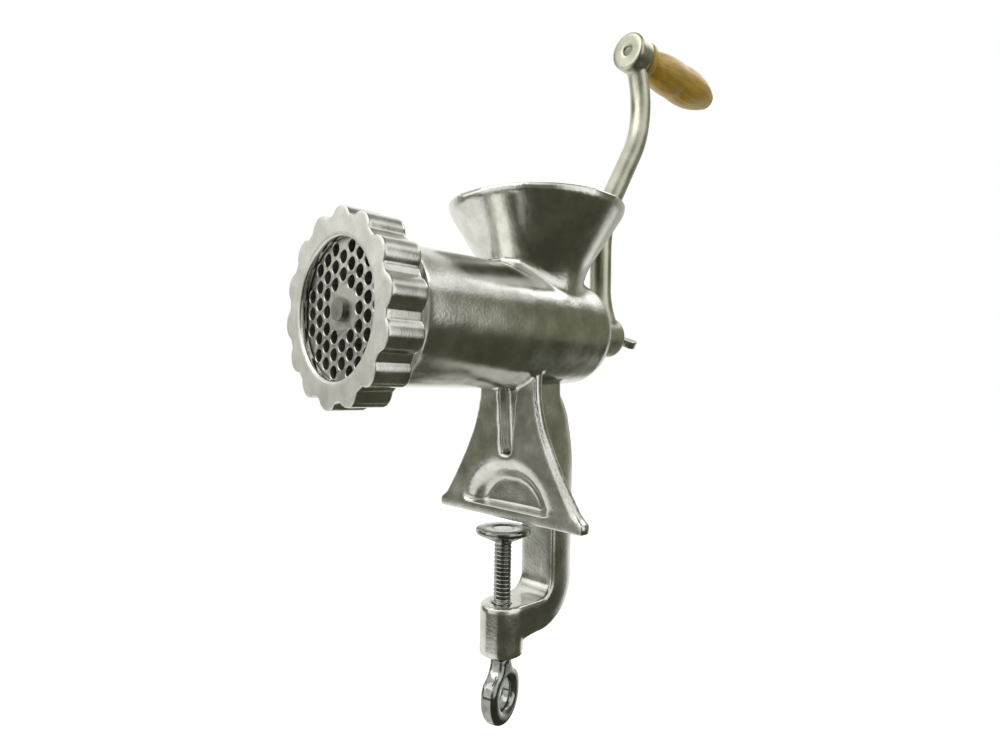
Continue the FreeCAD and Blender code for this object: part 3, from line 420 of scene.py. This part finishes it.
ring = {"voxel": 0.65, "passes": 4}
ringNut = softCopy("ring_nut", "lobed_ring", ring["voxel"], ring["passes"])
finishPiece(ringNut, ringMetal, "ring", "ring_metal", "ring_nut")
print("ring:", len(ringNut.data.polygons), "faces")


# perforated plate

# each grid is a number of columns and of rows
plate = {"radius": 31.0, "thickness": 7.0, "front": -93.0, "hole": 2.75, "chamfer": 0.3, "pitch": 7.2,
         "inner": 10.0, "outer": 26.5, "bore": 4.75, "keyRadius": 1.7, "keyPlace": -31.4,
         "grids": [(5, 9), (6, 10)], "rimSides": 160, "holeSides": 32, "boreSides": 48, "keySides": 24}


def makePlateTree():
    tree, given = nodeTree("perforated_plate", [
        ("Plate radius", "NodeSocketFloat"), ("Thickness", "NodeSocketFloat"),
        ("Hole radius", "NodeSocketFloat"), ("Chamfer", "NodeSocketFloat"), ("Pitch", "NodeSocketFloat"),
        ("Inner field", "NodeSocketFloat"), ("Outer field", "NodeSocketFloat"), ("Bore", "NodeSocketFloat"),
        ("Key radius", "NodeSocketFloat"), ("Key place", "NodeSocketVector"), ("Place", "NodeSocketVector"),
        ("Material", "NodeSocketMaterial")])
    wide = addNode(tree, "ShaderNodeMath", {
        0: given["Pitch"], 1: math.sqrt(3)}, operation="MULTIPLY").outputs[0]
    columns = addNode(tree, "GeometryNodeJoinGeometry")
    for across, up in plate["grids"]:
        # two square grids, one on the centre and one between its columns, make the staggered rows
        width = addNode(tree, "ShaderNodeMath", {0: wide, 1: across - 1.0}, operation="MULTIPLY")
        height = addNode(tree, "ShaderNodeMath", {0: given["Pitch"], 1: up - 1.0}, operation="MULTIPLY")
        grid = addNode(tree, "GeometryNodeMeshGrid", {
            "Size X": width.outputs[0], "Size Y": height.outputs[0], "Vertices X": across, "Vertices Y": up})
        tree.links.new(grid.outputs["Mesh"], columns.inputs["Geometry"])
    points = addNode(tree, "GeometryNodeMeshToPoints", {"Mesh": columns.outputs["Geometry"]})
    # holes stay in a ring-shaped field between the hub and the rim
    place = addNode(tree, "GeometryNodeInputPosition").outputs[0]
    reach = addNode(tree, "ShaderNodeVectorMath", {0: place}, operation="LENGTH").outputs["Value"]
    near = addNode(tree, "ShaderNodeMath", {0: reach, 1: given["Inner field"]}, operation="LESS_THAN")
    far = addNode(tree, "ShaderNodeMath", {0: reach, 1: given["Outer field"]}, operation="GREATER_THAN")
    outside = addNode(tree, "ShaderNodeMath", {0: near.outputs[0], 1: far.outputs[0]}, operation="MAXIMUM")
    kept = addNode(tree, "GeometryNodeDeleteGeometry", {
        "Geometry": points.outputs["Points"], "Selection": outside.outputs[0]}, domain="POINT")
    deep = addNode(tree, "ShaderNodeMath", {0: given["Thickness"], 1: 2.0}, operation="MULTIPLY").outputs[0]
    drill = addNode(tree, "GeometryNodeMeshCylinder", {
        "Vertices": plate["holeSides"], "Radius": given["Hole radius"], "Depth": deep}, fill_type="NGON")
    # the countersink is a cone that passes through the face, three chamfers deep, and stands one above it
    sinkDepth = addNode(tree, "ShaderNodeMath", {
        0: given["Chamfer"], 1: 3.0}, operation="MULTIPLY").outputs[0]
    narrow = addNode(tree, "ShaderNodeMath", {
        0: given["Hole radius"], 1: given["Chamfer"]}, operation="SUBTRACT").outputs[0]
    widest = addNode(tree, "ShaderNodeMath", {0: narrow, 1: sinkDepth}, operation="ADD").outputs[0]
    sink = addNode(tree, "GeometryNodeMeshCone", {
        "Vertices": plate["holeSides"], "Radius Top": widest, "Radius Bottom": narrow, "Depth": sinkDepth},
        fill_type="NGON")
    half = addNode(tree, "ShaderNodeMath", {0: given["Thickness"], 1: 0.5}, operation="MULTIPLY").outputs[0]
    twice = addNode(tree, "ShaderNodeMath", {0: given["Chamfer"], 1: 2.0}, operation="MULTIPLY").outputs[0]
    low = addNode(tree, "ShaderNodeMath", {0: half, 1: twice}, operation="SUBTRACT").outputs[0]
    face = addNode(tree, "ShaderNodeCombineXYZ", {"Z": low}).outputs[0]
    sunk = addNode(tree, "GeometryNodeTransform", {"Geometry": sink.outputs["Mesh"], "Translation": face})
    holes = addNode(tree, "GeometryNodeInstanceOnPoints", {
        "Points": kept.outputs["Geometry"], "Instance": drill.outputs["Mesh"]})
    sinks = addNode(tree, "GeometryNodeInstanceOnPoints", {
        "Points": kept.outputs["Geometry"], "Instance": sunk.outputs["Geometry"]})
    realHoles = addNode(tree, "GeometryNodeRealizeInstances", {"Geometry": holes.outputs["Instances"]})
    realSinks = addNode(tree, "GeometryNodeRealizeInstances", {"Geometry": sinks.outputs["Instances"]})
    centre = addNode(tree, "GeometryNodeMeshCylinder", {
        "Vertices": plate["boreSides"], "Radius": given["Bore"], "Depth": deep})
    key = addNode(tree, "GeometryNodeMeshCylinder", {
        "Vertices": plate["keySides"], "Radius": given["Key radius"], "Depth": deep})
    keyWay = addNode(tree, "GeometryNodeTransform", {
        "Geometry": key.outputs["Mesh"], "Translation": given["Key place"]})
    disc = addNode(tree, "GeometryNodeMeshCylinder", {
        "Vertices": plate["rimSides"], "Radius": given["Plate radius"], "Depth": given["Thickness"]},
        fill_type="NGON")
    drilled = addNode(tree, "GeometryNodeMeshBoolean", {"Mesh 1": disc.outputs["Mesh"]},
                      operation="DIFFERENCE", solver="EXACT")
    for tool in (realHoles.outputs[0], centre.outputs["Mesh"], keyWay.outputs["Geometry"]):
        tree.links.new(tool, drilled.inputs["Mesh 2"])
    chamfered = addNode(tree, "GeometryNodeMeshBoolean", {
        "Mesh 1": drilled.outputs["Mesh"], "Mesh 2": realSinks.outputs[0]},
        operation="DIFFERENCE", solver="EXACT")
    placed = addNode(tree, "GeometryNodeTransform", {
        "Geometry": chamfered.outputs["Mesh"], "Translation": given["Place"],
        "Rotation": (math.pi / 2, 0, 0)})
    real = addNode(tree, "GeometryNodeRealizeInstances", {"Geometry": placed.outputs["Geometry"]})
    coloured = addNode(tree, "GeometryNodeSetMaterial", {
        "Geometry": real.outputs["Geometry"], "Material": given["Material"]})
    addNode(tree, "NodeGroupOutput", {"Geometry": coloured.outputs["Geometry"]})
    return tree


holedPlate = grow("holed_plate", makePlateTree(), {
    "Plate radius": plate["radius"] * mm, "Thickness": plate["thickness"] * mm,
    "Hole radius": plate["hole"] * mm, "Chamfer": plate["chamfer"] * mm, "Pitch": plate["pitch"] * mm,
    "Inner field": plate["inner"] * mm, "Outer field": plate["outer"] * mm, "Bore": plate["bore"] * mm,
    "Key radius": plate["keyRadius"] * mm, "Key place": (0, plate["keyPlace"] * mm, 0),
    "Place": (0, (plate["front"] + plate["thickness"] / 2) * mm, barrelHeight * mm), "Material": groundSteel})
finishPiece(holedPlate, groundSteel, "plate", "plate_steel", "grinding_plate")
print("plate:", len(holedPlate.data.polygons), "faces")


# crank

crank = {"voxel": 0.75, "passes": 6, "waves": [(20, 0.1)]}
bentCrank = softCopy("crank_arm", "bent_crank", crank["voxel"], crank["passes"])
unevenness(bentCrank, crank["waves"])
finishPiece(bentCrank, crankMetal, "drive", "crank_metal", "crank_arm")
print("crank:", len(bentCrank.data.polygons), "faces")


# grip

def woodSurface(name, look):
    material, tree = newMaterial(name)
    coords = addNode(tree, "ShaderNodeTexCoord").outputs["Object"]
    streak = addNode(tree, "ShaderNodeMapping", {
        "Vector": coords, "Scale": (1.0, look["grainWidth"] / look["grainLength"], 1.0)})
    grain = addNode(tree, "ShaderNodeTexNoise", {
        "Vector": streak.outputs["Vector"], "Scale": 1 / (look["grainWidth"] * mm), "Detail": 5.0,
        "Roughness": 0.6, "Distortion": look["waver"]})
    fleck = addNode(tree, "ShaderNodeTexNoise", {
        "Vector": streak.outputs["Vector"], "Scale": 1 / (look["fleck"] * mm), "Detail": 2.0})
    spread = addNode(tree, "ShaderNodeMapRange", {
        "Value": grain.outputs["Fac"], "From Min": look["grainTone"][0], "From Max": look["grainTone"][1]})
    dots = addNode(tree, "ShaderNodeMapRange", {
        "Value": fleck.outputs["Fac"], "From Min": look["fleckTone"][0], "From Max": look["fleckTone"][1],
        "To Max": look["fleckShare"]})
    colour = addNode(tree, "ShaderNodeMix", {
        "Factor": spread.outputs["Result"], "A": linear(look["dark"]), "B": linear(look["pale"])},
        data_type="RGBA")
    colour = addNode(tree, "ShaderNodeMix", {
        "Factor": dots.outputs["Result"], "A": colour.outputs["Result"], "B": linear(look["fleckColour"])},
        data_type="RGBA")
    bump = addNode(tree, "ShaderNodeBump", {
        "Height": grain.outputs["Fac"], "Distance": look["grainDepth"] * mm, "Strength": 1.0})
    surface = addNode(tree, "ShaderNodeBsdfPrincipled", {
        "Base Color": colour.outputs["Result"], "Roughness": look["rough"], "Normal": bump.outputs["Normal"],
        "Coat Weight": look["coat"], "Coat Roughness": look["coatRough"]})
    addNode(tree, "ShaderNodeOutputMaterial", {"Surface": surface.outputs["BSDF"]})
    return material


# turned beech under golden varnish: long streaks of grain along the grip and a soft, clear coat
beech = woodSurface("varnished_turned_beech", {
    "pale": "#d0ab42", "dark": "#ae872a", "fleckColour": "#7f5e1c",
    "rough": 0.42, "coat": 0.3, "coatRough": 0.4,
    "grainWidth": 2.6, "grainLength": 34, "grainDepth": 0.05, "grainTone": (0.35, 0.68), "waver": 0.6,
    "fleck": 0.9, "fleckTone": (0.6, 0.72), "fleckShare": 0.55})
grip = {"height": 273.5, "segments": 96, "bore": 3.25, "recess": 4.7, "recessDepth": 5.0, "length": 81.0,
        "flange": 4.0, "flangeRadius": 10.8, "neck": 8.0, "neckRadius": 8.0, "swell": 40.0,
        "swellRadius": 11.7, "swellTurn": 22, "endRadius": 5.25, "endTurn": 30.3, "endRound": 1.6,
        "steps": 16}


def bow(start, end, turn, steps):
    # points after start on the arc to end, which turns by that many degrees and bulges outwards
    half = math.radians(turn) / 2
    middle = (Vector(start) + Vector(end)) / 2
    chord = Vector(end) - Vector(start)
    centre = middle + Vector((chord.y, -chord.x)) / (2 * math.tan(half))
    points = []
    for step in range(1, steps + 1):
        spoke = Matrix.Rotation(-2 * half * step / steps, 2) @ (Vector(start) - centre)
        points.append(tuple(centre + spoke))
    return points


def makeGrip():
    # a bead and neck at the boss, then one smooth swelling and a rounded end
    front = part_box("wooden_grip")[0].y
    bead = (grip["flange"], grip["flangeRadius"])
    neck = (grip["neck"], grip["neckRadius"])
    widest = (grip["swell"], grip["swellRadius"])
    end = (grip["length"] - grip["endRound"], grip["endRadius"] + grip["endRound"])
    outline = [(0, grip["bore"]), (0, grip["flangeRadius"])]
    outline += bow(outline[-1], bead, grip["swellTurn"], grip["steps"])
    outline += bow(bead, neck, -grip["swellTurn"], grip["steps"])
    outline += bow(neck, widest, grip["swellTurn"], grip["steps"])
    outline += bow(widest, end, grip["endTurn"], grip["steps"])
    outline += bow(end, (grip["length"], grip["endRadius"]), 90, grip["steps"] // 2)
    floor = grip["length"] - grip["recessDepth"]
    outline += [(grip["length"], grip["recess"]), (floor, grip["recess"]), (floor, grip["bore"])]
    return lathe("turned_grip", outline, grip["segments"], (0, front, grip["height"] * mm), (0, 1, 0))


turnedGrip = finishPiece(makeGrip(), beech, "grip", "varnished_wood", "wooden_grip")
print("grip:", len(turnedGrip.data.polygons), "faces")


# thumb screw

thumb = {"voxel": 0.4, "passes": 4}
wingScrew = softCopy("thumb_screw", "wing_screw", thumb["voxel"], thumb["passes"])
finishPiece(wingScrew, brightSteel, "thumb_screw", "turned_steel", "thumb_screw")
print("thumb screw:", len(wingScrew.data.polygons), "faces")


# clamp screw and pad

clamp = {"voxel": 0.55, "passes": 5, "shaftFoot": -68.5, "shaftTop": -11.5, "root": 4.15}
# heights and radii of the pad's section, from its bore round the rim to the hollow for the rivet
pad = {"outline": [(-10.5, 3.05), (-10.5, 6.6), (-10.3, 7.0), (-7.4, 13.2), (-6.9, 13.65), (-6.4, 13.8),
                   (-5.2, 13.8), (-4.7, 13.6), (-4.5, 13.1), (-4.5, 5.7), (-4.7, 5.4), (-6.5, 5.4),
                   (-6.5, 3.05)],
       "segments": 96}


def makeClampScrew():
    # the shaft is cut to the root of its thread
    piece = softCopy("clamp_screw", "eye_screw", clamp["voxel"], clamp["passes"])
    for vertex in piece.data.vertices:
        radius = math.hypot(vertex.co.x, vertex.co.y)
        if clamp["shaftFoot"] * mm < vertex.co.z < clamp["shaftTop"] * mm and radius > clamp["root"] * mm:
            vertex.co.x *= clamp["root"] * mm / radius
            vertex.co.y *= clamp["root"] * mm / radius
    return finishPiece(piece, darkSteel, "screw", "clamp_steel", "clamp_screw")


eyeScrew = makeClampScrew()
clampPad = lathe("swivel_pad", pad["outline"], pad["segments"], (0, 0, 0), (0, 0, 1))
finishPiece(clampPad, darkSteel, "pad", "clamp_steel", "clamp_pad")
print("clamp:", len(eyeScrew.data.polygons), "faces on the screw,", len(clampPad.data.polygons), "on the pad")


# the solids that stay as they are

# the worm and the knife take the iron painted dark with the barrel's inner shade
keptNodes = {"feed_screw": barrelShadeIron, "worm_stud": groundSteel, "cross_knife": barrelShadeIron,
             "plate_key_pin": brightSteel, "rear_bush": turnedBrass, "thrust_washer": turnedBrass,
             "grip_spindle": groundSteel, "inner_grip_washer": brightSteel, "outer_grip_washer": brightSteel,
             "thumb_washer": brightSteel, "pad_rivet": darkSteel}
for node, material in keptNodes.items():
    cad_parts[node].data.materials.clear()
    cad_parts[node].data.materials.append(material)
print("solids:", len(keptNodes), "kept")


# studio

# the floor lies below the clamp screw's lowest place, and its size and the lamps' places are in metres
studio = {"floor": 3.0, "floorGap": 45.0, "floorColour": "#a8a8a6", "floorGlow": 0.88, "backdrop": "#ffffff",
          "sky": "#f9f9f8", "zenith": "#8f8f85", "front": "#f7f7f5", "behind": "#aeaea6", "left": "#6d6e60",
          "right": "#6d6e5c", "ground": "#47483a", "leftGround": "#f6f6f2", "paper": "#f2f2ee",
          "roomLight": 1.3, "heart": (0, 0.02, 0.1), "groundTurn": -0.35}
camera = {"place": (0.22981, -0.22506, 0.06718), "yaw": 0.80522, "pitch": 0.014348, "roll": 0.017954,
          "lens": 23.04, "sensor": 36, "nearest": 0.01}
lamps = [
    {"name": "left_softbox", "side": -0.85, "toCamera": 0.05, "up": 0.24,
     "size": (0.6, 0.3), "power": 0.8},
    {"name": "top_softbox", "side": 0.47, "toCamera": -0.47, "up": 0.6,
     "size": (0.7, 0.25), "power": 0.8},
    {"name": "high_left_softbox", "side": -0.45, "toCamera": 0.36, "up": 0.62,
     "size": (0.7, 0.7), "power": 2.6},
    {"name": "right_softbox", "side": 0.76, "toCamera": 0.38, "up": 0.17,
     "size": (0.55, 0.55), "power": 0.25},
]
# where each part of the room starts and where it is full, on a direction's share ahead, across or upwards
bands = {"paperBehind": (0.25, 0.0), "leftWall": (-0.3, -0.7), "rearWall": (0.35, 0.7),
         "frontWall": (-0.14, -0.24), "nearWall": (-0.8, -0.95), "leftGround": (-0.04, -0.2),
         "shade": (-0.1, 0.1), "groundTop": (-0.42, -0.36), "shadeTop": (-0.28, -0.16), "sweep": (0.38, 0.6),
         "sweepFoot": (-0.55, -0.42), "sweepTop": (-0.2, -0.1), "skyFoot": (0.44, 0.62),
         "zenithSide": (-0.1, 0.2), "zenithFoot": (0.72, 0.84)}


def makeCamera():
    yaw, pitch, roll = camera["yaw"], camera["pitch"], camera["roll"]
    forward = Vector((-math.sin(yaw) * math.cos(pitch), math.cos(yaw) * math.cos(pitch), math.sin(pitch)))
    level = forward.cross(Vector((0, 0, 1))).normalized()
    upright = level.cross(forward)
    right = level * math.cos(roll) + upright * math.sin(roll)
    up = upright * math.cos(roll) - level * math.sin(roll)
    seen = bpy.data.cameras.new("photo_camera")
    seen.sensor_fit = "HORIZONTAL"
    seen.sensor_width = camera["sensor"]
    seen.lens = camera["lens"]
    seen.clip_start = camera["nearest"]
    holder = bpy.data.objects.new("photo_camera", seen)
    holder.matrix_world = Matrix((
        (right.x, up.x, -forward.x, camera["place"][0]),
        (right.y, up.y, -forward.y, camera["place"][1]),
        (right.z, up.z, -forward.z, camera["place"][2]),
        (0, 0, 0, 1)))
    scene.collection.objects.link(holder)
    scene.camera = holder
    return level, forward


def makeLamp(lamp):
    # a softbox that faces the heart of the grinder
    heart = Vector(studio["heart"])
    light = bpy.data.lights.new(lamp["name"], "AREA")
    light.shape = "RECTANGLE"
    light.size, light.size_y = lamp["size"]
    light.energy = lamp["power"]
    holder = bpy.data.objects.new(lamp["name"], light)
    holder.location = heart + sideways * lamp["side"] - inward * lamp["toCamera"] + Vector((0, 0, lamp["up"]))
    holder.rotation_euler = (heart - holder.location).to_track_quat("-Z", "Y").to_euler()
    scene.collection.objects.link(holder)


def makeFloor():
    level = cadBox[0].z - studio["floorGap"] * mm
    half = studio["floor"]
    corners = [(-half, -half, level), (half, -half, level), (half, half, level), (-half, half, level)]
    mesh = bpy.data.meshes.new("studio_floor")
    mesh.from_pydata(corners, [], [(0, 1, 2, 3)])
    piece = link("studio_floor", mesh)
    material, tree = newMaterial("matt_white_floor")
    surface = addNode(tree, "ShaderNodeBsdfPrincipled", {
        "Base Color": linear(studio["floorColour"]), "Roughness": 0.9, "Specular IOR Level": 0.0,
        "Emission Color": linear(studio["backdrop"]), "Emission Strength": studio["floorGlow"]})
    addNode(tree, "ShaderNodeOutputMaterial", {"Surface": surface.outputs["BSDF"]})
    mesh.materials.append(material)
    # the pale floor is a backdrop, and the metal mirrors the darker ground of the room instead
    piece.visible_glossy = False
    piece.visible_diffuse = False
    piece.visible_shadow = False


def makeWorld():
    # the room lights the metal from behind and the sides, and the backdrop itself is white all round
    world = bpy.data.worlds.new("studio_room")
    world.use_nodes = True
    tree = world.node_tree
    tree.nodes.clear()
    aim = addNode(tree, "ShaderNodeTexCoord").outputs["Generated"]
    ahead = addNode(tree, "ShaderNodeVectorMath", {
        0: aim, 1: inward}, operation="DOT_PRODUCT").outputs["Value"]
    across = addNode(tree, "ShaderNodeVectorMath", {
        0: aim, 1: sideways}, operation="DOT_PRODUCT").outputs["Value"]
    toCamera = addNode(tree, "ShaderNodeMath", {0: ahead, 1: 0.0}, operation="MINIMUM").outputs[0]
    aside = addNode(tree, "ShaderNodeMath", {
        0: toCamera, 1: studio["groundTurn"], 2: across}, operation="MULTIPLY_ADD").outputs[0]
    height = addNode(tree, "ShaderNodeSeparateXYZ", {"Vector": aim}).outputs["Z"]

    def fade(along, band, near, far):
        # near gives way to far over the band
        share = addNode(tree, "ShaderNodeMapRange", {
            "Value": along, "From Min": bands[band][0], "From Max": bands[band][1]})
        return addNode(tree, "ShaderNodeMix", {"Factor": share.outputs["Result"], "A": near, "B": far},
                       data_type="RGBA").outputs["Result"]

    # the walls, with the white paper behind on the left
    rear = fade(across, "paperBehind", linear(studio["behind"]), linear(studio["paper"]))
    walls = fade(across, "leftWall", linear(studio["right"]), linear(studio["left"]))
    walls = fade(ahead, "rearWall", walls, rear)
    walls = fade(ahead, "frontWall", walls, linear(studio["front"]))
    walls = fade(ahead, "nearWall", walls, linear(studio["right"]))
    # the ground, bright on the left, with a strip of shade along the foot of the front wall
    ground = fade(aside, "leftGround", linear(studio["ground"]), linear(studio["leftGround"]))
    shade = fade(ahead, "shade", linear(studio["ground"]), ground)
    room = fade(height, "groundTop", ground, fade(height, "shadeTop", shade, walls))
    # the paper's sweep from the ground up to the rear wall
    sweep = fade(ahead, "sweep", room, linear(studio["paper"]))
    room = fade(height, "sweepFoot", room, fade(height, "sweepTop", sweep, room))
    # the sky, darker towards the right of the zenith
    room = fade(height, "skyFoot", room, linear(studio["sky"]))
    above = fade(across, "zenithSide", linear(studio["sky"]), linear(studio["zenith"]))
    room = fade(height, "zenithFoot", room, above)
    lit = addNode(tree, "ShaderNodeBackground", {"Color": room, "Strength": studio["roomLight"]})
    seen = addNode(tree, "ShaderNodeBackground", {"Color": linear(studio["backdrop"])})
    shown = addNode(tree, "ShaderNodeMixShader", {
        0: addNode(tree, "ShaderNodeLightPath").outputs["Is Camera Ray"], 1: lit.outputs["Background"],
        2: seen.outputs["Background"]})
    addNode(tree, "ShaderNodeOutputWorld", {"Surface": shown.outputs["Shader"]})
    scene.world = world


sideways, inward = makeCamera()
for lamp in lamps:
    makeLamp(lamp)
makeFloor()
makeWorld()
scene.view_settings.view_transform = "Standard"
print("studio: camera, floor and", len(lamps), "lights")
